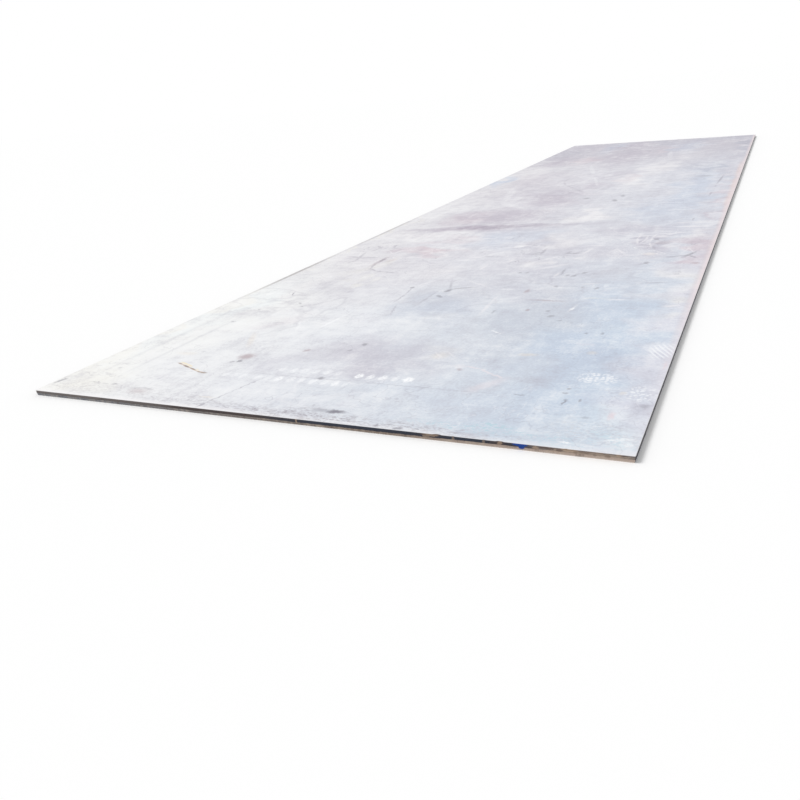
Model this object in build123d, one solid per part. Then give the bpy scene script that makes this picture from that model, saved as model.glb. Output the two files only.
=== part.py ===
from build123d import *
import math
import os

# A hot-rolled steel plate, cut to size on a guillotine shear, in millimetres.
# +X runs across the plate and +Y along it, the way it was rolled, away from its near end.
# +Z is up, and the origin is the centre of the underside.
plate_width = 2000.0
plate_length = 8000.0
plate_thickness = 18.0

# A sheared edge, read from the top face down. The blade first draws the corner over,
# then cuts a smooth upright land, and the rest tears and leans in under the land.
rollover_radius = 1.5
land_depth = 9.0
tear_setback = 2.2

# Seen from above the blade leaves crisp corners. The near-left one has been knocked blunt.
corner_radius = 3.0
blunt_corner_radius = 10.0

# Nicks in the top corner of the near edge, where the plate was struck in handling.
# Each is its distance in from the right-hand end of that edge, its length and its depth.
edge_nicks = [
    (162.0, 15.0, 1.6),
    (329.0, 26.0, 3.0),
    (371.0, 11.0, 1.5),
    (454.0, 13.0, 1.8),
    (499.0, 30.0, 3.2),
]


def outline():
    """The plate seen from above, with its three crisp corners and its blunt one."""
    half_width = plate_width / 2
    half_length = plate_length / 2
    border = FilletPolyline(
        (-half_width, -half_length),
        (half_width, -half_length),
        (half_width, half_length),
        (-half_width, half_length),
        radius=[blunt_corner_radius, corner_radius, corner_radius, corner_radius],
        close=True,
    )
    return make_face(border)


def sheared_blank():
    """The plate with its upright lands, its torn faces and its drawn-over top corner."""
    land_foot = plate_thickness - land_depth
    lean = math.degrees(math.atan2(tear_setback, land_foot))
    cut = Pos(0, 0, land_foot) * Rectangle(plate_width, plate_length)
    land = extrude(cut, amount=land_depth)
    torn = extrude(cut, amount=-land_foot, taper=lean)
    blank = (land + torn) & extrude(outline(), amount=plate_thickness)
    top_border = blank.faces().sort_by(Axis.Z)[-1].edges()
    return fillet(top_border, radius=rollover_radius)


def nick(from_right, length, depth):
    """The round scoop that one knock leaves across the top corner of the near edge."""
    scoop_radius = (length**2 / 4 + depth**2) / (2 * depth)
    offset = (scoop_radius - depth) / math.sqrt(2)
    middle = Pos(
        plate_width / 2 - from_right,
        -plate_length / 2 - offset,
        plate_thickness + offset,
    )
    return middle * Sphere(scoop_radius)


def steel_plate():
    """The whole plate, one solid."""
    return sheared_blank() - [nick(*size) for size in edge_nicks]


os.makedirs("parts", exist_ok=True)
plate = steel_plate()
plate.label = "steel_plate"
export_step(plate, "parts/steel_plate.step")
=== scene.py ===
import math

import bmesh
import bpy
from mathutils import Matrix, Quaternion, Vector, noise


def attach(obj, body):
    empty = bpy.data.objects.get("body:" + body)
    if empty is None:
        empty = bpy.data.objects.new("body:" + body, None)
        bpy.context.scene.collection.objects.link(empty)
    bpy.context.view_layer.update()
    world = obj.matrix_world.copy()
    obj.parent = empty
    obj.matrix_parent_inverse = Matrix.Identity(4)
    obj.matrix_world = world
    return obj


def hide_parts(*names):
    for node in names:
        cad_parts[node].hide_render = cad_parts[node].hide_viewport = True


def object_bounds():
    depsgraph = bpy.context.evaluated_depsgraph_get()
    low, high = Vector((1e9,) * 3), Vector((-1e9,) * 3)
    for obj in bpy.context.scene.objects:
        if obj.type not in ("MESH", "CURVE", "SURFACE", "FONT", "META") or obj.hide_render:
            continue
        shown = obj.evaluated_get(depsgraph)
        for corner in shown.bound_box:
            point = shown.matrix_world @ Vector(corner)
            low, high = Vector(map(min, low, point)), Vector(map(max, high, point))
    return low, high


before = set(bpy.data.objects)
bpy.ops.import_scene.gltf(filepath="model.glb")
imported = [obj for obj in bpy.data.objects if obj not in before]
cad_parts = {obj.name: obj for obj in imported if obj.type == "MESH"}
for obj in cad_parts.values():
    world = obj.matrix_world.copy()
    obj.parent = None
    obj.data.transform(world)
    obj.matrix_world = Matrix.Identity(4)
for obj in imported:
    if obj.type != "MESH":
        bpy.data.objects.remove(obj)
cad_low, cad_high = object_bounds()

# The camera
# It is held by hand near the plate's near right corner, 0.83 m over the plate, and looks
# down its length to the left. It leans 6 degrees, so the horizon falls to the left.
camera_place = Vector((1.237, -5.603, cad_high.z + 0.8305))
camera_target = Vector((0.3055, -3.8077, cad_high.z))
camera_lean = math.radians(-5.94)
camera = bpy.data.objects.new("camera", bpy.data.cameras.new("camera"))
camera.data.sensor_width = 36.0
camera.data.lens = 33.8
camera.data.clip_end = 200.0
camera.location = camera_place
look = (camera_target - camera_place).to_track_quat("-Z", "Y")
camera.rotation_euler = (look @ Quaternion((0.0, 0.0, 1.0), camera_lean)).to_euler()
bpy.context.scene.collection.objects.link(camera)
bpy.context.scene.camera = camera

# The plate's body
# One hot-rolled plate, cut to size on a guillotine shear. Its border is a drawn-over top
# corner, an upright land with drag lines, and a torn face that leans in to the underside.
half_width, half_length, thickness = cad_high
millimetre = 0.001
rollover_radius = 1.5 * millimetre
land_depth = 9.0 * millimetre
tear_setback = 2.2 * millimetre
corner_radius = 3.0 * millimetre
blunt_corner_radius = 10.0 * millimetre
# The border's mesh has a point every so far, closest along the near edge, which shows best.
near_pitch = 3.0 * millimetre
far_pitch = 5.0 * millimetre
# Each nick is its distance in from the right-hand end, its length and its depth.
edge_nicks = [(162, 15, 1.6), (329, 26, 3.0), (371, 11, 1.5), (454, 13, 1.8), (499, 30, 3.2)]
nick_scoops = []
for from_right, length, depth in edge_nicks:
    radius = (length**2 / 4 + depth**2) / (2 * depth)
    offset = (radius - depth) / math.sqrt(2)
    middle = Vector((half_width - from_right * millimetre,
                     -half_length - offset * millimetre,
                     thickness + offset * millimetre))
    nick_scoops.append((middle, radius * millimetre))

# Each wave is its height in millimetres, how many metres its bumps are apart, and its seed.
foot_waves = [(1.1, 0.09, 3.1), (0.7, 0.021, 7.7)]
drag_wave = (0.06, 0.004, 1.3)
hackle_wave = (0.35, 0.007, 5.9)
grain_wave = (0.22, 0.0045, 9.2)
drag_depth = 0.06
tear_depth = 0.3


def ripple(place, wave):
    """The smooth random height of a wave at a place, in millimetres."""
    height, size, seed = wave
    return height * noise.noise(Vector(place) / size + Vector((seed, seed, seed)))


def scooped(place):
    """The place, pushed back along the plate out of any nick that it falls in."""
    for middle, radius in nick_scoops:
        reach = radius**2 - (place.x - middle.x) ** 2 - (place.z - middle.z) ** 2
        if reach > 0 and abs(place.y - middle.y) < math.sqrt(reach):
            place = Vector((place.x, middle.y + math.sqrt(reach), place.z))
    return place


body = bmesh.new()
bmesh.ops.create_grid(body, x_segments=1, y_segments=1, size=1.0)
bmesh.ops.scale(body, vec=(half_width, half_length, 1.0), verts=body.verts)
for corner in list(body.verts):
    blunt = corner.co.x < 0 and corner.co.y < 0
    radius = blunt_corner_radius if blunt else corner_radius
    bmesh.ops.bevel(body, geom=[corner], offset=radius, offset_type="OFFSET", segments=6,
                    profile=0.5, affect="VERTICES", material=-1)
for side in [edge for edge in body.edges if edge.calc_length() > half_width]:
    near = all(vert.co.y < 0.0 for vert in side.verts)
    pitch = near_pitch if near else far_pitch
    cuts = round(side.calc_length() / pitch) - 1
    bmesh.ops.bisect_edges(body, edges=[side], cuts=cuts)

border_place = body.verts.layers.float_vector.new("border_place")
border_outward = body.verts.layers.float_vector.new("border_outward")
torn = body.verts.layers.float.new("torn")
for vert in body.verts:
    across = Vector((0.0, 0.0, 0.0))
    for edge in vert.link_edges:
        along = (edge.other_vert(vert).co - vert.co).normalized()
        facing = Vector((along.y, -along.x, 0.0))
        across += facing if facing.dot(vert.co) > 0 else -facing
    vert[border_place] = vert.co.copy()
    vert[border_outward] = across.normalized()
cap = body.faces[:][0]


def land_foot(place):
    """How far under the top face the cut land ends and the tear starts, at a border place."""
    wander = sum(ripple(place, wave) for wave in foot_waves)
    return land_depth + wander * millimetre


def drop_share(foot, share):
    """How much of the tear's lean has been taken up, counted from the land's nominal foot."""
    drop = foot + share * (thickness - foot)
    return max(0.0, (drop - land_depth) / (thickness - land_depth))


def place_row(verts, row, share):
    """Sets one row of the border: row is rollover, land or tear, and share is how far down it."""
    for vert in verts:
        place = vert[border_place]
        foot = land_foot(place)
        if row == "rollover":
            turn = share * math.pi / 2
            inset = rollover_radius * (1 - math.sin(turn))
            drop = rollover_radius * (1 - math.cos(turn))
        elif row == "land":
            drag = ripple((place.x, place.y, 0.0), drag_wave)
            inset = (drag_depth + drag) * millimetre
            drop = rollover_radius + share * (foot - rollover_radius)
        else:
            # Low ridges run up and down, fine pits lie anywhere, and both end at the underside.
            lean = tear_setback * drop_share(foot, share)
            hackle = ripple((place.x, place.y, share * 0.004), hackle_wave)
            grain = ripple((place.x, place.y, share * 0.02), grain_wave)
            fade = min(1.0, 4.0 * (1.0 - share))
            inset = lean + max(0.0, tear_depth + hackle + grain) * fade * millimetre
            drop = foot + share * (thickness - foot)
            vert[torn] = 1.0
        spot = place - vert[border_outward] * inset
        vert.co = scooped(Vector((spot.x, spot.y, thickness - drop)))


# The border grows down from the top face, one row of faces at a time.
place_row(body.verts, "rollover", 0.0)
border_rows = [("rollover", 0.34), ("rollover", 0.67), ("rollover", 1.0)]
border_rows += [("land", 0.35), ("land", 0.7), ("land", 1.0)]
border_rows += [("tear", 0.04)] + [("tear", step / 6) for step in range(1, 7)]
rim = list(body.edges)
for row, share in border_rows:
    grown = bmesh.ops.extrude_edge_only(body, edges=rim)["geom"]
    new_verts = {item for item in grown if isinstance(item, bmesh.types.BMVert)}
    rim = [item for item in grown if isinstance(item, bmesh.types.BMEdge)
           and all(vert in new_verts for vert in item.verts)]
    place_row(new_verts, row, share)
base = bmesh.ops.edgeloop_fill(body, edges=rim)["faces"][0]
bmesh.ops.recalc_face_normals(body, faces=body.faces)
# Finish 0 is the top face's, 1 is the sheared edge's and 2 is the underside's.
for face in body.faces:
    face.smooth = face not in (cap, base)
    face.material_index = 0 if face is cap else 2 if face is base else 1
for edge in rim:
    edge.smooth = False


def corner_order(face):
    """A number that sorts faces by their lowest-numbered corner, then by their highest."""
    corners = [vert.index for vert in face.verts]
    return min(corners) * len(body.verts) + max(corners)


# Extruding adds faces in a chance order, so they are sorted to be alike in each run.
body.verts.index_update()
body.faces.sort(key=corner_order)

plate_mesh = bpy.data.meshes.new("steel_plate_body")
body.to_mesh(plate_mesh)
body.free()
plate = bpy.data.objects.new("steel_plate_body", plate_mesh)
bpy.context.scene.collection.objects.link(plate)


def tone(code):
    """An sRGB hex colour as the linear colour that Blender wants."""
    parts = [int(code[start:start + 2], 16) / 255 for start in (0, 2, 4)]
    linear = [part / 12.92 if part <= 0.04045 else ((part + 0.055) / 1.055) ** 2.4
              for part in parts]
    return (*linear, 1.0)


def add(tree, kind, inputs=(), **settings):
    """Adds a node. Each input is a number, a colour or another node's output."""
    made = tree.nodes.new("ShaderNode" + kind)
    for name, value in settings.items():
        setattr(made, name, value)
    for socket, value in dict(inputs).items():
        if isinstance(value, bpy.types.NodeSocket):
            tree.links.new(value, made.inputs[socket])
        else:
            made.inputs[socket].default_value = value
    return made


def material(name):
    """An empty material, its tree and its shader, which is joined to the output."""
    made = bpy.data.materials.new(name)
    made.use_nodes = True
    made.node_tree.nodes.clear()
    shader = add(made.node_tree, "BsdfPrincipled")
    add(made.node_tree, "OutputMaterial", {"Surface": shader.outputs["BSDF"]})
    return made, made.node_tree, shader


# One soft oval mark. Where it is fainter than the marks under it, they show through.
spot_group = bpy.data.node_groups.new("soft_spot", "ShaderNodeTree")
for name, kind in (("Place", "Vector"), ("Middle", "Vector"), ("Reach", "Vector"),
                   ("Turn", "Vector"), ("Fade", "Float"), ("Strength", "Float"),
                   ("Under", "Float")):
    spot_group.interface.new_socket(name, in_out="INPUT", socket_type="NodeSocket" + kind)
spot_group.interface.new_socket("Mask", in_out="OUTPUT", socket_type="NodeSocketFloat")
given = spot_group.nodes.new("NodeGroupInput").outputs
local = add(spot_group, "Mapping", {"Vector": given["Place"], "Location": given["Middle"],
                                    "Rotation": given["Turn"], "Scale": given["Reach"]},
            vector_type="TEXTURE")
inside = add(spot_group, "TexGradient", {"Vector": local.outputs[0]}, gradient_type="SPHERICAL")
cover = add(spot_group, "MapRange", {"Value": inside.outputs["Fac"], "From Max": given["Fade"],
                                     "To Max": given["Strength"]},
            interpolation_type="SMOOTHSTEP", clamp=False)
most = add(spot_group, "Math", {0: given["Under"], 1: cover.outputs[0]}, operation="MAXIMUM")
spot_group.links.new(most.outputs[0], spot_group.nodes.new("NodeGroupOutput").inputs["Mask"])


def wobbled(tree, place, amount, size):
    """The place, pushed about at random by up to amount metres over size metres."""
    push = add(tree, "TexNoise", {"Vector": place, "Scale": 1 / size, "Detail": 2.0},
               normalize=False)
    return add(tree, "VectorMath", {0: push.outputs["Color"], 1: (amount, amount, 0.0), 2: place},
               operation="MULTIPLY_ADD").outputs[0]


def spots(tree, place, marks, softness=0.4):
    """One mask, up to 1 inside the marks. Each mark is its middle, its half lengths across and
    along, in millimetres, its turn in degrees and how strong it is. It is as tall as a metre,
    so that height doesn't fade it."""
    mask = 0.0
    spread = 1 + softness
    tall = 1000.0
    for across, along, half_across, half_along, turn, strength in marks:
        reach = Vector((half_across * spread, half_along * spread, tall))
        mask = add(tree, "Group", {"Place": place, "Reach": reach * millimetre,
                                   "Middle": Vector((across, along, 0.0)) * millimetre,
                                   "Turn": (0.0, 0.0, math.radians(turn)), "Under": mask,
                                   "Fade": 2 * softness / spread, "Strength": strength},
                   node_tree=spot_group).outputs[0]
    return mask


def strokes(lines):
    """The marks that draw lines. Each line is its half width in millimetres, how strong it is
    and the points that it runs through."""
    marks = []
    for half_wide, strength, points in lines:
        for start, end in zip(points, points[1:]):
            run, rise = end[0] - start[0], end[1] - start[1]
            half_long = 0.5 * math.hypot(run, rise) + half_wide
            turn = math.degrees(math.atan2(rise, run))
            marks.append(((start[0] + end[0]) / 2, (start[1] + end[1]) / 2,
                          half_long, half_wide, turn, strength))
    return marks


def mottling(tree, place, layers):
    """Random light and dark about 0. A layer is its patches' width and length in millimetres
    and its share."""
    shade = 0.0
    for wide, long, share in layers:
        stretched = add(tree, "VectorMath", {0: place, 1: (1000 / wide, 1000 / long, 1.0)},
                        operation="MULTIPLY")
        patches = add(tree, "TexNoise", {"Vector": stretched.outputs[0], "Scale": 1.0,
                                         "Detail": 3.0, "Roughness": 0.6}, normalize=False)
        shade = add(tree, "Math", {0: patches.outputs["Fac"], 1: share, 2: shade},
                    operation="MULTIPLY_ADD").outputs[0]
    return shade


def stained(tree, under, stains):
    """The colour after each stain's mask and hex colour, laid one over another."""
    for mask, code in stains:
        under = add(tree, "Mix", {0: mask, 6: under, 7: tone(code)}, data_type="RGBA").outputs[2]
    return under


# The top face's mill scale
# Blue-grey oxide that the steel grew in the hot mill, dulled nearly white by yard dust and
# touched by a mauve haze of rust. It is matt and cloudy, and boots, oil and paint marked it.
dusty_scale, top_tree, top_shader = material("dusty_mill_scale")
top_coords = add(top_tree, "TexCoord").outputs["Object"]
flat = add(top_tree, "VectorMath", {0: top_coords, 1: (1.0, 1.0, 0.0)}, operation="MULTIPLY")
flat = flat.outputs[0]
# Marks lie on the flat place, or on it with a wobble: crisp for small marks, loose for clouds.
crisp = wobbled(top_tree, flat, 0.006, 0.016)
gentle = wobbled(top_tree, flat, 0.04, 0.10)
loose = wobbled(top_tree, flat, 0.16, 0.25)

# The top is painted nearly white on the left, a painted sheen of the light from that side, and fades to
# dusty, bluer scale on the right. Each tone has its share of the plate's width.
tones_of_dust_and_sheen = [(0.02, "F4F4F2"), (0.21, "ECEDEF"), (0.40, "E5E7EC"), (0.55, "DCE0E7"),
              (0.73, "D7DDE6"), (0.84, "CED7E3"), (0.91, "CDD8E5"), (0.98, "DADCE6")]
loose_sides = add(top_tree, "SeparateXYZ", {0: loose})
from_left = add(top_tree, "MapRange", {"Value": loose_sides.outputs["X"],
                                       "From Min": -half_width, "From Max": half_width})
dust_and_sheen_ramp = add(top_tree, "ValToRGB", {"Fac": from_left.outputs[0]})
for share, code in tones_of_dust_and_sheen:
    dust_and_sheen_ramp.color_ramp.elements.new(share).color = tone(code)
dust_and_sheen_ramp.color_ramp.elements.remove(dust_and_sheen_ramp.color_ramp.elements[0])
dust_and_sheen_ramp.color_ramp.elements.remove(dust_and_sheen_ramp.color_ramp.elements[-1])
# A haze of rust greys the plate from its near end to its far end, in two steps.
far_haze = add(top_tree, "MapRange", {"Value": loose_sides.outputs["Y"], "From Min": 0.6,
                                      "From Max": 3.2, "To Max": 0.95},
               interpolation_type="SMOOTHSTEP")
mid_haze = add(top_tree, "MapRange", {"Value": loose_sides.outputs["Y"], "From Min": -3.2,
                                      "From Max": -1.6, "To Max": 0.60},
               interpolation_type="SMOOTHSTEP")
top_colour = stained(top_tree, dust_and_sheen_ramp.outputs[0], [(mid_haze.outputs[0], "D9D7DE"),
                                                 (far_haze.outputs[0], "C7C4CD")])

# Broad clouds of rust haze, bare blue scale and thick pale dust.
mauve_clouds = [(-360, -830, 290, 270, 0, .62), (-230, -60, 210, 380, 12, .60),
                (-30, 440, 100, 200, 15, .45), (-500, 500, 350, 600, 0, .30),
                (610, -1300, 200, 120, 0, .30), (710, -1680, 90, 240, 0, .40),
                (40, -3500, 230, 160, 0, .42), (210, -2350, 260, 180, 0, .22),
                (330, -2640, 220, 100, 0, .20), (-760, 2300, 120, 380, 0, .50),
                (-130, 2500, 170, 700, 0, .40), (-250, 3500, 160, 400, 0, .40),
                (-650, 3600, 240, 300, 0, .25), (350, -1850, 300, 120, 0, .20),
                (-700, -2050, 160, 140, 0, .22), (850, -3420, 120, 110, 0, .15),
                (-500, -2300, 320, 500, 0, .18), (-640, 950, 190, 420, 0, .38),
                (-360, -1240, 320, 120, 0, .48), (150, -2150, 120, 650, 0, .20),
                (60, 1050, 130, 320, 0, .30), (0, 2000, 120, 450, 0, .20)]
mauve_band = [(-300, -1170, 450, 50, 7, .62), (-430, -1190, 140, 52, 7, .80),
              (-90, -1140, 180, 36, 8, .50)]
rose_clouds = [(-455, -1850, 120, 60, 0, .48), (-460, -1560, 150, 50, 0, .18),
               (-600, -900, 110, 180, 0, .18), (975, -300, 26, 900, 0, .22),
               (958, -1760, 50, 240, 0, .40), (950, -2030, 70, 70, 0, .42),
               (180, 850, 60, 250, 0, .25), (-560, -3140, 90, 70, 0, .12),
               (-470, 2250, 110, 260, 0, .30), (160, 2900, 60, 400, 0, .15)]
blue_clouds = [(740, 100, 110, 950, 0, .32), (600, -700, 130, 380, 0, .28),
               (-90, -1500, 160, 230, 0, .32), (720, -3380, 170, 260, 0, .38),
               (730, -2800, 140, 230, 0, .28), (560, -3800, 260, 110, 0, .20),
               (800, -3730, 150, 70, 0, .28), (60, -2900, 120, 130, 0, .25),
               (-930, 950, 60, 260, 0, .50),
               (820, -3250, 60, 200, 0, .10), (-420, 3500, 110, 420, 0, .30),
               (380, 3100, 140, 500, 0, .30)]
slate_clouds = [(800, 1250, 80, 260, 0, .45), (640, 1500, 60, 200, 0, .30),
                (965, 3000, 50, 900, 0, .45), (600, 3800, 260, 200, 0, .30),
                (-840, 3000, 120, 500, 0, .18), (120, 3700, 140, 260, 0, .25),
                (470, -2950, 150, 420, 0, .24), (10, -2800, 110, 230, 0, .18),
                (935, 900, 60, 500, 0, .30), (950, -900, 55, 900, 0, .24),
                (440, -3290, 90, 90, 0, .12), (34, -2609, 80, 80, 0, .12)]
dust_clouds = [(230, 700, 110, 360, 8, .52), (215, -800, 80, 200, 0, .60),
               (-800, -2100, 160, 200, 0, .15), (210, -2150, 50, 90, 0, .45),
               (900, -2550, 80, 260, 0, .40), (930, -1400, 40, 150, 0, .40),
               (-650, -1400, 250, 90, 0, .45), (330, 1450, 120, 360, 0, .55),
               (480, 2300, 150, 400, 0, .18), (840, -1120, 60, 60, 0, .45),
               (-760, 1500, 120, 350, 0, .25),
               (215, -1700, 90, 170, 0, .42), (-230, -2300, 110, 150, 0, .30)]
cream_clouds = [(-985, -3300, 22, 700, 0, .22), (-880, -3860, 150, 70, 0, .36),
                (-460, -2520, 50, 45, 0, .35), (-560, -2400, 45, 60, 0, .25),
                (720, -2700, 50, 20, 0, .40), (940, -2760, 50, 50, 0, .30),
                (940, -2340, 60, 120, 0, .30), (275, -3425, 40, 45, 0, .15),
                (-640, -2180, 60, 120, 0, .25), (-975, -1500, 16, 700, 0, .40)]
frost_clouds = [(-890, -2900, 70, 350, 0, .28), (-890, -3400, 50, 160, 0, .25),
                (940, -3900, 110, 90, 0, .50), (770, -3900, 90, 60, 0, .10)]
top_colour = stained(top_tree, top_colour, [
    (spots(top_tree, loose, mauve_clouds, 0.9), "B3A9B8"),
    (spots(top_tree, gentle, mauve_band, 0.8), "A69BAB"),
    (spots(top_tree, loose, blue_clouds, 0.9), "B7C6DC"),
    (spots(top_tree, loose, slate_clouds, 0.9), "A3A7B8"),
    (spots(top_tree, loose, rose_clouds, 0.9), "CDB2BB"),
    (spots(top_tree, loose, dust_clouds, 0.9), "F3F1F2"),
    (spots(top_tree, loose, cream_clouds, 0.9), "F2EFE6"),
    (spots(top_tree, loose, frost_clouds, 0.9), "E8F2F7")])

# Mottling at every size that shows, from the mill's long streaks down to the dust's grain.
mottle_layers = [(60, 1600, .22), (300, 420, .45), (90, 130, .40), (150, 45, .28), (30, 45, .30),
                 (9, 12, .40)]
mottle = mottling(top_tree, flat, mottle_layers)
darker = add(top_tree, "MapRange", {"Value": mottle, "To Max": 0.40})
paler = add(top_tree, "MapRange", {"Value": mottle, "From Max": -1.0, "To Max": 0.42})
top_colour = stained(top_tree, top_colour, [(darker.outputs[0], "A8A4B2"),
                                            (paler.outputs[0], "FFFFFF")])

# Chains and bundles dragged over the plate left webs of fine scuffs, in patches, pale where
# the scale is bruised and dark where dirt stays in it. A web is the size of its meshes and
# the half width of its threads in metres, its seed, its colour and how strong it is.
scuffed_places = [(-760, -2000, 200, 260, 0, 1.0), (700, -1800, 220, 380, 0, 1.0),
                  (50, -1950, 700, 380, 0, .60), (-500, -3850, 500, 110, 0, .40)]
scuffed = add(top_tree, "MapRange", {"Value": spots(top_tree, loose, scuffed_places, 0.9),
                                     "To Min": 0.30})
scuff_webs = [(0.10, 0.0015, 3.0, "F9F8FA", 0.85), (0.15, 0.0020, 8.0, "918C9B", 0.65),
              (0.36, 0.0120, 5.0, "F8F7F9", 0.60), (0.44, 0.0120, 12.0, "9A95A4", 0.55)]
# A thread runs where the noise is 0, and there it climbs by about 3 in a mesh.
web_slope = 3
for mesh, half_thread, seed, code, strength in scuff_webs:
    shifted = add(top_tree, "VectorMath", {0: flat, 1: (0.0, 0.0, seed)}, operation="ADD")
    web = add(top_tree, "TexNoise", {"Vector": shifted.outputs[0], "Scale": 1 / mesh, "Detail": 3.0,
                                     "Roughness": 0.55, "Distortion": 0.3}, normalize=False)
    away = add(top_tree, "Math", {0: web.outputs["Fac"]}, operation="ABSOLUTE")
    thread = add(top_tree, "MapRange", {"Value": away.outputs[0], "From Max": 0.0,
                                        "From Min": web_slope * half_thread / mesh})
    patch = add(top_tree, "TexNoise", {"Vector": shifted.outputs[0], "Scale": 0.4 / mesh,
                                       "Detail": 1.0}, normalize=False)
    patch = add(top_tree, "MapRange", {"Value": patch.outputs["Fac"], "From Min": -0.05,
                                       "From Max": 0.3, "To Max": strength})
    web = add(top_tree, "Math", {0: thread.outputs[0], 1: patch.outputs[0]}, operation="MULTIPLY")
    web = add(top_tree, "Math", {0: web.outputs[0], 1: scuffed.outputs[0]}, operation="MULTIPLY")
    top_colour = stained(top_tree, top_colour, [(web.outputs[0], code)])

# Marks of work: oil, rust, scratches, soot off the shear and smears of old paint.
oil_spots = [(-982, -3906, 24, 7, 80, .60), (-850, -3750, 10, 9, 0, .30),
             (-831, -3887, 20, 4, 0, .35), (-775, -3890, 10, 4, 0, .30),
             (-737, -3887, 12, 5, 0, .50), (-446, -3615, 8, 6, 0, .55),
             (-422, -3602, 9, 11, 0, .70), (-69, -3431, 8, 8, 0, .40),
             (-44, -3362, 9, 14, 0, .65), (-31, -3696, 12, 10, 0, .65),
             (156, -3927, 28, 10, 4, 1.0), (108, -3926, 30, 11, 0, .42),
             (318, -3984, 9, 5, 0, .60), (350, -3970, 10, 4, 10, .40),
             (384, -3988, 14, 6, 0, .70), (436, -3980, 10, 4, 0, .50),
             (631, -3700, 15, 5, 0, .45), (756, -3631, 6, 6, 0, .50),
             (754, -3662, 6, 6, 0, .45), (765, -3722, 20, 4, 80, .70),
             (806, -3704, 4, 8, 0, .55), (975, -3712, 12, 12, 0, .30),
             (840, -3812, 14, 5, 0, .30), (-750, -2740, 24, 4, -65, .60),
             (-620, -2886, 15, 6, -50, .48), (-584, -2930, 9, 5, -50, .45),
             (-764, -2994, 10, 6, 0, .45), (-770, -3176, 9, 8, -40, .45),
             (-206, -2586, 9, 12, 0, .60), (-16, -2625, 11, 24, -15, .72),
             (30, -2580, 50, 8, 24, .45), (-20, -2716, 22, 8, -50, .58),
             (210, -2294, 8, 12, 0, .50), (242, -2290, 8, 12, 0, .45),
             (404, -2265, 5, 50, 4, .42), (440, -2330, 9, 14, 10, .42),
             (470, -2340, 9, 14, 0, .42), (504, -2284, 9, 12, 0, .48),
             (436, -2524, 8, 12, 0, .45), (550, -2528, 5, 14, 0, .32),
             (610, -2538, 7, 18, -10, .48), (524, -2946, 12, 12, 0, .45),
             (496, -2880, 7, 8, 0, .55), (570, -2994, 10, 7, 0, .35),
             (290, -2910, 5, 20, 0, .40), (740, -2084, 10, 20, 0, .45),
             (696, -3128, 5, 9, 0, .50), (750, -3120, 5, 9, 0, .50),
             (50, -149, 22, 28, 0, .45), (286, -80, 13, 44, 10, .45),
             (266, -275, 16, 44, 15, .52), (746, 775, 55, 40, 0, .35),
             (360, -1890, 30, 12, 0, .36), (185, -1880, 24, 14, 30, .32),
             (712, -1565, 12, 26, -10, .42), (900, -1930, 10, 50, -20, .42)]
oil_spots += strokes([(5, .25, [(-640, -3905), (-600, -3893), (-560, -3905)])])
rust_spots = [(-425, -3556, 27, 25, 0, .60), (-231, -3456, 13, 11, 0, .45),
              (-600, -3922, 34, 20, 0, .30), (387, -3537, 9, 11, 0, .45),
              (336, -2606, 10, 26, 0, .45), (450, -2738, 62, 8, -4, .34),
              (416, -2874, 7, 9, 0, .52), (952, -2084, 14, 12, 0, .50),
              (757, -1655, 34, 36, 0, .28), (-625, -2090, 14, 100, 0, .25),
              (-570, -2060, 16, 40, -15, .22)]
hair_lines = strokes([(2.5, .50, [(-231, -3737), (-262, -3850), (-294, -3975)]),
                      (6, .60, [(-291, -3960), (-297, -3985)]),
                      (4, .22, [(-250, -3698), (120, -3702), (500, -3706)]),
                      (4, .40, [(-204, -2590), (-190, -2700), (-186, -2800)]),
                      (5, .30, [(-60, -2640), (-66, -2860)]),
                      (4, .40, [(-150, -2880), (-120, -2985)]),
                      (6, .35, [(-16, -2600), (-60, -2470), (-40, -2440)]),
                      (7, .45, [(-620, -1990), (-628, -2120), (-600, -2240), (-540, -2290), (-420, -2320)]),
                      (9, .25, [(-342, 1000), (-334, 760), (-280, 580), (-130, 310), (-40, 160)]),
                      (7, .60, [(880, 725), (867, 384)]), (6, .45, [(863, 250), (863, 205)]),
                      (6, .45, [(858, -59), (856, -177)]), (6, .45, [(838, -994), (837, -1052)]),
                      (7, .55, [(858, -1930), (907, -1934), (930, -1850)]),
                      (7, .55, [(907, -1934), (939, -1980)]), (9, .30, [(812, -1962), (850, -1965)]),
                      (6, .45, [(699, -1551), (734, -1600)]),
                      (10, .35, [(-880, -1960), (-780, -2000), (-700, -1985)]),
                      (9, .35, [(-820, -1880), (-780, -2070), (-800, -2110)]),
                      (7, .35, [(-830, -1690), (-785, -1750), (-800, -1840)]),
                      (7, .35, [(-720, -1680), (-700, -1755), (-630, -1785)]),
                      (7, .35, [(660, -1700), (720, -1730), (735, -1800)]),
                      (7, .30, [(590, -1540), (640, -1500), (700, -1510)])])
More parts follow.
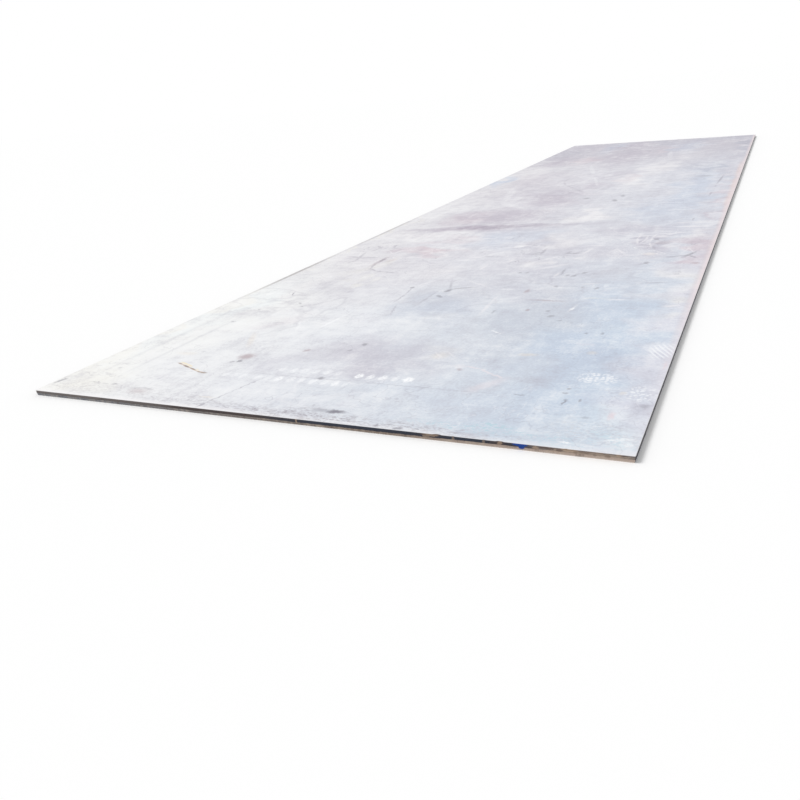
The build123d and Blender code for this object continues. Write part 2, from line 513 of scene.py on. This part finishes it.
# Faint dark lines along the length: the two near the left of the near end are painted shade lines, the
# others roller streaks.
roller_and_shade_lines = strokes([(9, .20, [(-780, -3180), (-784, -3720)]),
                        (11, .16, [(-885, -3150), (-890, -3700)]),
                        (9, .12, [(-640, -2300), (-660, -3100)]),
                        (8, .18, [(980, -3000), (980, -1200)])])
rose_smears = strokes([(5, .55, [(400, -3508), (448, -3520), (504, -3560), (544, -3586)]),
                       (20, .40, [(540, -3606), (490, -3684)])])
rose_smears += [(380, -3508, 30, 12, 0, .25), (720, -3240, 30, 10, 0, .2)]
red_smears = [(904, -3787, 8, 24, 0, .35), (987, -3394, 5, 30, 0, .25)]
sand_smears = [(562, -3369, 28, 13, 0, .35), (756, -3319, 14, 16, 0, .28),
               (906, -3631, 8, 12, 0, .30), (275, -3425, 26, 30, 0, .20),
               (-530, -3380, 12, 80, 28, .22), (-690, -3565, 40, 16, 0, .18),
               (-320, -3917, 26, 5, 0, .30), (728, -1905, 26, 26, 0, .25)]
# The two lines along the left rim are painted shade at the edge of the top face; the spots along the far
# rim are rust.
rim_shade_and_rust = strokes([(9, .55, [(-984, -1990), (-986, -2680)]),
                       (9, .40, [(-984, -880), (-984, -1640)])])
rim_shade_and_rust += [(-470, 3982, 44, 14, 0, .50), (-141, 3985, 30, 12, 0, .40), (222, 3985, 34, 12, 0, .40)]
peach_border = strokes([(16, .45, [(985, -700), (980, 0), (978, 650), (974, 1500)])])

# The straw-yellow streak is drawn flat into the top's colour. Its pale upper side is a painted highlight,
# and its brown lower side is partly its own brown and partly painted shadow.
straw_line = strokes([(3.2, .60, [(-650, -3662), (-584, -3690), (-518, -3722), (-478, -3730)])])
straw_highlight = strokes([(5.0, .90, [(-640, -3655), (-600, -3671), (-573, -3684)])])
straw_highlight += [(-524, -3711, 14, 5, -35, .50)]
straw_brown_and_shadow = [(-638, -3667, 12, 4.5, -24, .50), (-592, -3688, 20, 4.5, -24, .75),
               (-548, -3706, 18, 4.0, -24, .65), (-506, -3727, 9, 4.0, -24, .50),
               (-482, -3731, 15, 5.5, 0, .60)]

# Two rows of stencilled paint stand here, worn down to dabs that can no longer be read.
# Each dab is its middle, its half width and how much of it is left.
dab_half_tall = 20
rows = {-3646: [(-375, 17, .25), (-335, 12, .25), (-207, 14, .45), (-163, 12, .50),
                (-122, 14, .50), (-76, 10, .45), (-35, 14, .50), (7, 9, .35)],
        -3654: [(88, 14, .95), (130, 11, .65), (174, 13, .75), (217, 10, .60), (261, 17, 1.0)],
        -3728: [(-385, 10, .45), (-349, 11, .45), (-315, 10, .40), (-254, 12, .50),
                (-212, 9, .40), (-172, 14, .80), (-126, 12, .60), (-85, 10, .50), (-43, 12, .60),
                (3, 10, .50), (43, 12, .75), (79, 9, .40)]}
dabs = [(middle, row, half, dab_half_tall, -6, left) for row in rows for middle, half, left in rows[row]]
scuffs = [(-320, -3120, 8, 80, -6, .55), (380, -3155, 26, 5, -40, .60), (580, -2840, 24, 5, 80, .60),
          (-430, -3465, 8, 30, 20, .40), (35, -1715, 26, 40, 0, .45), (-100, -1490, 26, 40, 0, .22),
          (640, -2500, 10, 24, 0, .35), (-690, -2660, 60, 7, 0, .25), (-440, -3180, 6, 60, 25, .35),
          (240, -2580, 30, 12, 0, .35), (-620, 200, 30, 300, 12, .25), (-60, 700, 12, 260, 14, .25),
          (-260, 1500, 20, 300, 14, .25), (300, 2400, 25, 300, 6, .2), (826, -3966, 16, 6, 0, .75),
          (946, -3924, 36, 6, 20, .45), (972, -3946, 12, 12, 0, .45), (880, -3972, 16, 6, 0, .40),
          (938, -3235, 34, 44, 0, .28)]

# Some scuffs stand out from the webs.
pale_scuffs = strokes([(5, .55, [(620, -1466), (617, -1531), (622, -1595), (636, -1673)]),
                       (5, .55, [(660, -1501), (661, -1573), (649, -1658)]),
                       (5, .50, [(697, -1445), (688, -1519), (691, -1645), (712, -1750)]),
                       (6, .45, [(546, -1834), (556, -1790), (605, -1890)]),
                       (5, .45, [(881, -1838), (891, -1775), (920, -1870)]),
                       (13, .45, [(795, -1236), (906, -1246)]), (10, .50, [(799, -1393), (841, -1396)]),
                       (28, .40, [(790, -1737), (804, -1737)]), (24, .40, [(722, -1905), (742, -1905)]),
                       (20, .40, [(780, -1125), (800, -1125)]), (16, .40, [(896, -1466), (916, -1466)]),
                       (12, .70, [(11, -1748), (75, -1699)]), (12, .45, [(-145, -1984), (-96, -1974)]),
                       (7, .50, [(-3, -2237), (-2, -2158)]), (8, .45, [(90, -2075), (96, -2027)]),
                       (7, .42, [(246, -2940), (237, -2785)]), (7, .40, [(235, -2778), (234, -2698)]),
                       (6, .40, [(22, -2453), (132, -2544)]), (7, .40, [(-194, -2557), (-144, -2453)]),
                       (12, .60, [(-586, -2155), (-561, -2145)]), (7, .50, [(-642, -1917), (-611, -1810)]),
                       (12, .50, [(417, -1715), (461, -1716)]), (8, .50, [(414, -1896), (431, -1792)]),
                       (10, .45, [(398, -2007), (425, -1974)]), (10, .45, [(249, -2021), (310, -1974)]),
                       (16, .45, [(287, -2208), (370, -2133)]), (6, .35, [(573, -2878), (586, -2794)]),
                       (9, .60, [(691, -2705), (745, -2700)]), (7, .45, [(386, -2357), (389, -2286)]),
                       (10, .60, [(916, -2772), (947, -2758)]), (12, .60, [(875, -2319), (906, -2310)]),
                       (9, .40, [(549, -2474), (590, -2465)]), (5, .50, [(-780, -1640), (-735, -1725)]),
                       (5, .50, [(-690, -1830), (-630, -1905)]), (5, .40, [(-870, -1810), (-830, -1930)]),
                       (4, .40, [(250, -3400), (290, -3450)]), (4, .35, [(290, -3390), (330, -3430)])])
dark_scuffs = strokes([(7, .50, [(-617, -2094), (-634, -1998)]), (6, .40, [(-692, -1840), (-678, -1796)]),
                       (8, .30, [(-69, -1965), (-30, -1965)]), (7, .45, [(141, -1904), (204, -1914)]),
                       (7, .45, [(204, -1914), (198, -1801)]), (7, .40, [(331, -1905), (341, -1850)]),
                       (7, .40, [(370, -1905), (391, -1860)]), (7, .40, [(464, -2347), (481, -2304)]),
                       (7, .40, [(492, -2293), (513, -2277)]), (8, .40, [(719, -2115), (751, -2081)]),
                       (8, .30, [(802, -2441), (871, -2424)]), (9, .40, [(817, -1970), (860, -1957)])])

# Boots left their tread in pale dust: several of round studs and one of slanting bars. The bars
# turn 28 degrees off the plate's length, and wave_share sets the wave's bands a pitch apart.
stud_pitch = 0.014
bar_pitch = 0.015
bar_slant = 0.53
wave_share = 0.555
stud_prints = [(818, -3535, 58, 44, 0, .85), (955, -3625, 42, 54, 0, .80), (946, -3925, 30, 25, 0, .5),
               (900, -3850, 44, 26, 0, .35), (880, -3420, 40, 60, 0, .2)]
bar_prints = [(962, -3268, 36, 68, 0, .70)]
studs = add(top_tree, "TexVoronoi", {"Vector": crisp, "Scale": 1 / stud_pitch, "Randomness": 0.45})
studs = add(top_tree, "MapRange", {"Value": studs.outputs["Distance"], "From Min": 0.58,
                                   "From Max": 0.22}, interpolation_type="SMOOTHSTEP")
slanted = add(top_tree, "VectorMath", {0: flat, 1: (1.0, bar_slant, 0.0)}, operation="MULTIPLY")
bars = add(top_tree, "TexWave", {"Vector": slanted.outputs[0], "Scale": wave_share / bar_pitch,
                                 "Distortion": 3.0, "Detail": 1.0, "Detail Scale": 0.35},
           bands_direction="DIAGONAL")
bars = add(top_tree, "MapRange", {"Value": bars.outputs["Fac"], "From Min": 0.45, "From Max": 0.75},
           interpolation_type="SMOOTHSTEP")
treads = add(top_tree, "Math", {0: spots(top_tree, crisp, stud_prints, 0.3), 1: studs.outputs[0]},
             operation="MULTIPLY")
slants = add(top_tree, "Math", {0: spots(top_tree, crisp, bar_prints, 0.3), 1: bars.outputs[0]},
             operation="MULTIPLY")

# Worn paint and dust break up into crumbs. Soot off the shear lies in specks and short
# smears along the near border, and it is bluer towards the right.
crumbs = mottling(top_tree, flat, [(10, 10, 1.0)])
crumbs_left = add(top_tree, "MapRange", {"Value": crumbs, "From Min": -0.25, "From Max": 0.0,
                                         "To Min": 0.45})
chalk = add(top_tree, "Math", {0: spots(top_tree, crisp, dabs + scuffs), 1: crumbs_left.outputs[0]},
            operation="MULTIPLY")
smears = mottling(top_tree, flat, [(30, 12, 0.5), (12, 7, 0.6)])
soot_bands = [(60, -3972, 330, 34, 0, 1.0), (-330, -3960, 260, 30, 0, .55), (-830, -3935, 150, 40, 0, .35),
              (420, -3985, 260, 22, 0, .80), (900, -3900, 120, 70, 0, .30), (-560, -3930, 110, 34, 0, .45)]
soot_specks = add(top_tree, "MapRange", {"Value": smears, "From Min": -0.25, "From Max": 0.45,
                                         "To Max": 0.75})
soot = add(top_tree, "Math", {0: spots(top_tree, gentle, soot_bands, 0.8), 1: soot_specks.outputs[0]},
           operation="MULTIPLY")
teal_specks = add(top_tree, "MapRange", {"Value": smears, "From Min": 0.0, "From Max": -0.3})
teal_bands = [(630, -3940, 200, 24, -2, .85), (940, -3930, 60, 50, 0, .45), (800, -3960, 100, 30, 0, .4)]
teal = add(top_tree, "Math", {0: spots(top_tree, gentle, teal_bands, 0.8), 1: teal_specks.outputs[0]},
           operation="MULTIPLY")

# Handling has rubbed the near and the right rim paler, up to a few centimetres in.
flat_sides = add(top_tree, "SeparateXYZ", {0: crisp})
near_rim = add(top_tree, "MapRange", {"Value": flat_sides.outputs["Y"], "From Min": 0.028 - half_length,
                                      "From Max": 0.008 - half_length, "To Max": 0.6})
rim_left = add(top_tree, "MapRange", {"Value": flat_sides.outputs["X"], "From Min": -0.25,
                                      "From Max": 0.10, "To Min": 1.0, "To Max": 0.50})
near_rim = add(top_tree, "Math", {0: near_rim.outputs[0], 1: rim_left.outputs[0]},
               operation="MULTIPLY")
right_rim = add(top_tree, "MapRange", {"Value": flat_sides.outputs["X"], "From Min": half_width - 0.030,
                                       "From Max": half_width - 0.006, "To Max": 0.75})
rim_fade = add(top_tree, "MapRange", {"Value": flat_sides.outputs["Y"], "From Min": 0.4 - half_length,
                                      "From Max": 1.6 - half_length, "To Min": 0.1})
right_rim = add(top_tree, "Math", {0: right_rim.outputs[0], 1: rim_fade.outputs[0]},
                operation="MULTIPLY")

top_colour = stained(top_tree, top_colour, [
    (spots(top_tree, flat, roller_and_shade_lines, 0.8), "B4B4BE"),
    (spots(top_tree, flat, rim_shade_and_rust, 0.8), "8C8582"),
    (spots(top_tree, crisp, peach_border, 0.9), "E8CFC6"),
    (soot.outputs[0], "989099"),
    (teal.outputs[0], "B8D2DD"),
    (spots(top_tree, crisp, rose_smears, 0.7), "EBE2E6"),
    (spots(top_tree, crisp, red_smears, 0.7), "E3C0C4"),
    (spots(top_tree, crisp, sand_smears, 0.7), "EADBC8"),
    (near_rim.outputs[0], "F7F5F6"),
    (right_rim.outputs[0], "EADCDD"),
    (spots(top_tree, crisp, hair_lines, 0.7), "A09CA8"),
    (spots(top_tree, crisp, rust_spots, 0.8), "A58B90"),
    (spots(top_tree, crisp, oil_spots, 0.7), "8C8A94"),
    (spots(top_tree, crisp, dark_scuffs, 0.8), "A19DA8"),
    (spots(top_tree, crisp, pale_scuffs, 0.8), "F2F0F3"),
    (treads.outputs[0], "F2F4F8"),
    (slants.outputs[0], "F2F4F8"),
    (chalk.outputs[0], "FCFDFF"),
    (spots(top_tree, flat, straw_highlight, 0.5), "F4E8CC"),
    (spots(top_tree, flat, straw_line, 0.5), "CBA888"),
    (spots(top_tree, flat, straw_brown_and_shadow, 0.6), "7C6450")])
top_tree.links.new(top_colour, top_shader.inputs["Base Color"])

# Dust scatters the light, so it is matt, and it is a little smoother where oil soaked in.
top_rough = add(top_tree, "MapRange", {"Value": mottle, "From Min": -1.0, "From Max": 1.0,
                                       "To Min": 0.82, "To Max": 0.62})
top_tree.links.new(top_rough.outputs[0], top_shader.inputs["Roughness"])
top_shader.inputs["Specular IOR Level"].default_value = 0.3
flake_size = 0.004
flake_height = 0.0004
flakes = add(top_tree, "TexNoise", {"Vector": top_coords, "Scale": 1 / flake_size, "Detail": 4.0})
relief = add(top_tree, "Bump", {"Height": flakes.outputs["Fac"], "Strength": 0.35,
                                "Distance": flake_height})
top_tree.links.new(relief.outputs[0], top_shader.inputs["Normal"])


# The sheared edge
# Steel laid bare by the blade, which has rusted since. The upright land is dark brown to
# blue-black, the torn face below it is tan, and both carry streaks along the plate.
sheared_steel, edge_tree, edge_shader = material("sheared_steel")
edge_coords = add(edge_tree, "TexCoord").outputs["Object"]
edge_sides = add(edge_tree, "SeparateXYZ", {0: edge_coords})
torn_share = add(edge_tree, "Attribute", attribute_name="torn").outputs["Fac"]
facing = add(edge_tree, "Attribute", attribute_name="border_outward")
facing = add(edge_tree, "SeparateXYZ", {0: facing.outputs["Vector"]})
on_near = add(edge_tree, "MapRange", {"Value": facing.outputs["Y"], "From Min": -0.5,
                                      "From Max": -0.9})
on_right = add(edge_tree, "MapRange", {"Value": facing.outputs["X"], "From Min": 0.5,
                                       "From Max": 0.9})
# Marks on the near edge are placed by how far across and how high they are.
upright = add(edge_tree, "CombineXYZ", {"X": edge_sides.outputs["X"], "Y": edge_sides.outputs["Z"]})
near_face = wobbled(edge_tree, upright.outputs[0], 0.0016, 0.008)

# Streaks run along the edge and are flattened, because its height counts six times.
flattening = 6.0
streak_layers = [(160, 400, .5), (45, 45, .5), (12, 14, .5)]
along_edge = add(edge_tree, "VectorMath", {0: edge_coords, 1: (1.0, 1.0, flattening)},
                 operation="MULTIPLY")
streaks = mottling(edge_tree, along_edge.outputs[0], streak_layers)
streak_share = add(edge_tree, "MapRange", {"Value": streaks, "From Min": -0.7, "From Max": 0.7})

land_blue = [(265, 14, 200, 12, 0, 1.0), (575, 14, 72, 12, 0, 1.0), (30, 14, 80, 12, 0, .5),
             (715, 14, 34, 12, 0, .6)]
land_worn = [(-900, 14, 230, 14, 0, .50), (-560, 14, 150, 14, 0, .38), (885, 14, 130, 14, 0, .80)]
deep_land = [(310, 10.8, 300, 3.6, 0, .90), (60, 10, 60, 3.0, 0, .60)]
bare_breaks = [(481, 15, 23, 4, 0, .45), (470, 11, 10, 5, 0, .4), (546, 12, 4, 6, 0, .3),
               (629, 12, 4, 5, 0, .3), (671, 13, 6, 5, 0, .40), (68, 12, 3, 7, 0, .5),
               (763, 12, 8, 4, 0, .5), (845, 15, 22, 5, 0, .7), (912, 14, 18, 6, 0, .4),
               (962, 15, 8, 5, 0, .6), (820, 8, 30, 3, 0, .3),
               (890, 12, 105, 4, 0, .42)]
scale_blots = [(790, 14, 20, 3, 0, .7), (822, 12, 9, 3, 0, .6), (880, 15.8, 118, 1.2, 0, .45),
               (462, 14.5, 9, 2.2, 0, .60), (508, 16.3, 22, 1.0, 0, .50),
               (972, 15.5, 9, 2.5, 0, .60), (882, 14, 14, 3, 0, .40),
               (936, 10, 7, 4, 0, .35), (860, 12, 5, 3, 0, .30), (905, 9, 4, 4, 0, .25),
               (700, 6, 16, 2, 0, .3), (-300, 6, 30, 2, 0, .3), (200, 5, 24, 2, 0, .3)]
blue_daub = [(723, 15.5, 19, 4.5, 0, 1.0), (727, 9, 8, 6.5, 0, 1.0)]

land_noise = add(edge_tree, "MapRange", {"Value": streaks, "From Min": -0.5, "From Max": 0.6,
                                         "To Max": 0.8})
land = stained(edge_tree, tone("332B2A"), [(land_noise.outputs[0], "514543")])
blue_part = add(edge_tree, "Math", {0: spots(edge_tree, near_face, land_blue, 0.3),
                                    1: on_near.outputs[0]}, operation="MULTIPLY")
worn_part = add(edge_tree, "Math", {0: spots(edge_tree, near_face, land_worn, 0.3),
                                    1: on_near.outputs[0]}, operation="MULTIPLY")
land = stained(edge_tree, land, [(blue_part.outputs[0], "252C3A"), (worn_part.outputs[0], "7E7876")])
# The torn face's rust is painted grey towards the left as painted shade, and brighter tan towards the right
# as painted light.
shade_to_tan_share = add(edge_tree, "MapRange", {"Value": edge_sides.outputs["X"], "From Min": -0.7,
                                        "From Max": 0.3})
lit_bright_share = add(edge_tree, "MapRange", {"Value": edge_sides.outputs["X"], "From Min": 0.3,
                                           "From Max": 0.75})
torn_face = stained(edge_tree, tone("737479"), [(shade_to_tan_share.outputs[0], "85776C"),
                                                (lit_bright_share.outputs[0], "B2A095")])
torn_pale = add(edge_tree, "MapRange", {"Value": streaks, "From Max": -0.6, "To Max": 0.5})
torn_face = stained(edge_tree, torn_face, [(torn_pale.outputs[0], "BCAE9F")])
torn_dark = add(edge_tree, "MapRange", {"Value": streaks, "From Min": 0.25, "From Max": 0.7,
                                        "To Max": 0.6})
torn_face = stained(edge_tree, torn_face, [(torn_dark.outputs[0], "5E5049")])
edge_colour = add(edge_tree, "Mix", {0: torn_share, 6: land, 7: torn_face}, data_type="RGBA")
edge_colour = edge_colour.outputs[2]

near_marks = [(deep_land, "292C38"), (bare_breaks, "B59D86"), (scale_blots, "4A3934"),
              (blue_daub, "003A8A")]
near_masks = []
for marks, code in near_marks:
    part = add(edge_tree, "Math", {0: spots(edge_tree, near_face, marks, 0.25),
                                   1: on_near.outputs[0]}, operation="MULTIPLY")
    near_masks.append((part.outputs[0], code))
edge_colour = stained(edge_tree, edge_colour, near_masks)

# The right-hand edge is painted darker than the near edge, land and torn face alike: dark scale with
# painted shade, as that side faces away from the light.
right_side_scale_and_shade = stained(edge_tree, tone("211F28"), [(streak_share.outputs[0], "37323C"),
                                                 (torn_share, "40434F")])
low_rim = add(edge_tree, "MapRange", {"Value": edge_sides.outputs["Z"], "From Min": 0.005,
                                      "From Max": 0.001, "To Max": 0.5})
low_rim = add(edge_tree, "Math", {0: low_rim.outputs[0], 1: lit_bright_share.outputs[0]},
              operation="MULTIPLY")
edge_colour = stained(edge_tree, edge_colour, [(low_rim.outputs[0], "CDC2B9")])
edge_colour = add(edge_tree, "Mix", {0: on_right.outputs[0], 6: edge_colour, 7: right_side_scale_and_shade},
                  data_type="RGBA").outputs[2]
drawn_over = add(edge_tree, "MapRange", {"Value": edge_sides.outputs["Z"],
                                         "From Min": thickness - 0.5 * rollover_radius,
                                         "From Max": thickness - 0.05 * rollover_radius})
edge_colour = stained(edge_tree, edge_colour, [(drawn_over.outputs[0], "E6E4E6")])
edge_tree.links.new(edge_colour, edge_shader.inputs["Base Color"])
edge_rough = add(edge_tree, "MapRange", {"Value": streaks, "From Min": -0.8, "From Max": 0.8,
                                         "To Min": 0.5, "To Max": 0.85})
edge_tree.links.new(edge_rough.outputs[0], edge_shader.inputs["Roughness"])
edge_shader.inputs["Specular IOR Level"].default_value = 0.35
tear_grain_size = 0.0012
tear_grain_height = 0.0003
tear_grain = add(edge_tree, "TexNoise", {"Vector": edge_coords, "Scale": 1 / tear_grain_size,
                                         "Detail": 3.0})
tear_relief = add(edge_tree, "Bump", {"Height": tear_grain.outputs["Fac"], "Strength": 0.5,
                                      "Distance": tear_grain_height})
edge_tree.links.new(tear_relief.outputs[0], edge_shader.inputs["Normal"])


# The underside's mill scale
# The same oxide kept out of the dust and the sun, so it is still blue-grey. The rollers left
# faint streaks along it, and damp has started small rust blooms.
bloom_size = 0.09
under_scale, under_tree, under_shader = material("blue_mill_scale")
under_coords = add(under_tree, "TexCoord").outputs["Object"]
under_flat = add(under_tree, "VectorMath", {0: under_coords, 1: (1.0, 1.0, 0.0)},
                 operation="MULTIPLY").outputs[0]
under_mottle = mottling(under_tree, under_flat, [(70, 1800, .5), (260, 420, .5), (40, 70, .4),
                                                 (10, 14, .3)])
under_dark = add(under_tree, "MapRange", {"Value": under_mottle, "To Max": 0.7})
under_pale = add(under_tree, "MapRange", {"Value": under_mottle, "From Max": -1.0, "To Max": 0.7})
blooms = add(under_tree, "TexNoise", {"Vector": wobbled(under_tree, under_flat, 0.02, 0.03),
                                      "Scale": 1 / bloom_size, "Detail": 5.0, "Roughness": 0.7})
blooms = add(under_tree, "MapRange", {"Value": blooms.outputs["Fac"], "From Min": 0.60,
                                      "From Max": 0.72, "To Max": 0.7})
under_colour = stained(under_tree, tone("7C8DA3"), [(under_dark.outputs[0], "4C5A6E"),
                                                    (under_pale.outputs[0], "A9B5C4"),
                                                    (blooms.outputs[0], "86604C")])
under_tree.links.new(under_colour, under_shader.inputs["Base Color"])
under_rough = add(under_tree, "MapRange", {"Value": under_mottle, "From Min": -1.0,
                                           "From Max": 1.0, "To Min": 0.6, "To Max": 0.42})
under_tree.links.new(under_rough.outputs[0], under_shader.inputs["Roughness"])
under_flakes = add(under_tree, "TexNoise", {"Vector": under_coords, "Scale": 1 / flake_size,
                                            "Detail": 4.0})
under_relief = add(under_tree, "Bump", {"Height": under_flakes.outputs["Fac"], "Strength": 0.3,
                                        "Distance": flake_height})
under_tree.links.new(under_relief.outputs[0], under_shader.inputs["Normal"])
for finish in (dusty_scale, sheared_steel, under_scale):
    plate_mesh.materials.append(finish)

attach(plate, "root")
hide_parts("steel_plate")

# The floor and the light
# A plain white studio floor that runs out of sight, soft light all round, and one broad
# lamp high on the left that leaves the right-hand edge and a thin strip of floor in shade.
floor_reach = 60.0
floor_mesh = bpy.data.meshes.new("floor")
floor_shape = bmesh.new()
bmesh.ops.create_grid(floor_shape, x_segments=1, y_segments=1, size=floor_reach)
floor_shape.to_mesh(floor_mesh)
floor_shape.free()
floor = bpy.data.objects.new("floor", floor_mesh)
bpy.context.scene.collection.objects.link(floor)
white_floor, floor_tree, floor_shader = material("white_floor")
floor_shader.inputs["Base Color"].default_value = (0.98, 0.98, 0.98, 1.0)
floor_shader.inputs["Roughness"].default_value = 1.0
floor_shader.inputs["Specular IOR Level"].default_value = 0.0
floor_mesh.materials.append(white_floor)

lamp_strength = 1.6
lamp_spread = math.radians(25.0)
lamp_from = Vector((-0.62, -0.25, 0.74))
lamp = bpy.data.objects.new("lamp", bpy.data.lights.new("lamp", "SUN"))
lamp.data.energy = lamp_strength
lamp.data.angle = lamp_spread
lamp.rotation_euler = lamp_from.to_track_quat("Z", "Y").to_euler()
bpy.context.scene.collection.objects.link(lamp)

sky = bpy.data.worlds.new("studio")
sky.use_nodes = True
sky_tree = sky.node_tree
sky_tree.nodes.clear()
path = add(sky_tree, "LightPath")
seen = add(sky_tree, "Math", {0: path.outputs["Is Camera Ray"], 1: path.outputs["Is Glossy Ray"]},
           operation="MAXIMUM")
seen = add(sky_tree, "Math", {0: seen.outputs[0], 1: path.outputs["Is Transmission Ray"]},
           operation="MAXIMUM")
fill_strength = 0.64
strength = add(sky_tree, "MapRange", {"Value": seen.outputs[0], "To Min": fill_strength, "To Max": 1.0})
light = add(sky_tree, "Background", {"Color": (1.0, 1.0, 1.0, 1.0), "Strength": strength.outputs[0]})
add(sky_tree, "OutputWorld", {"Surface": light.outputs[0]})
bpy.context.scene.world = sky
bpy.context.scene.view_settings.view_transform = "Standard"
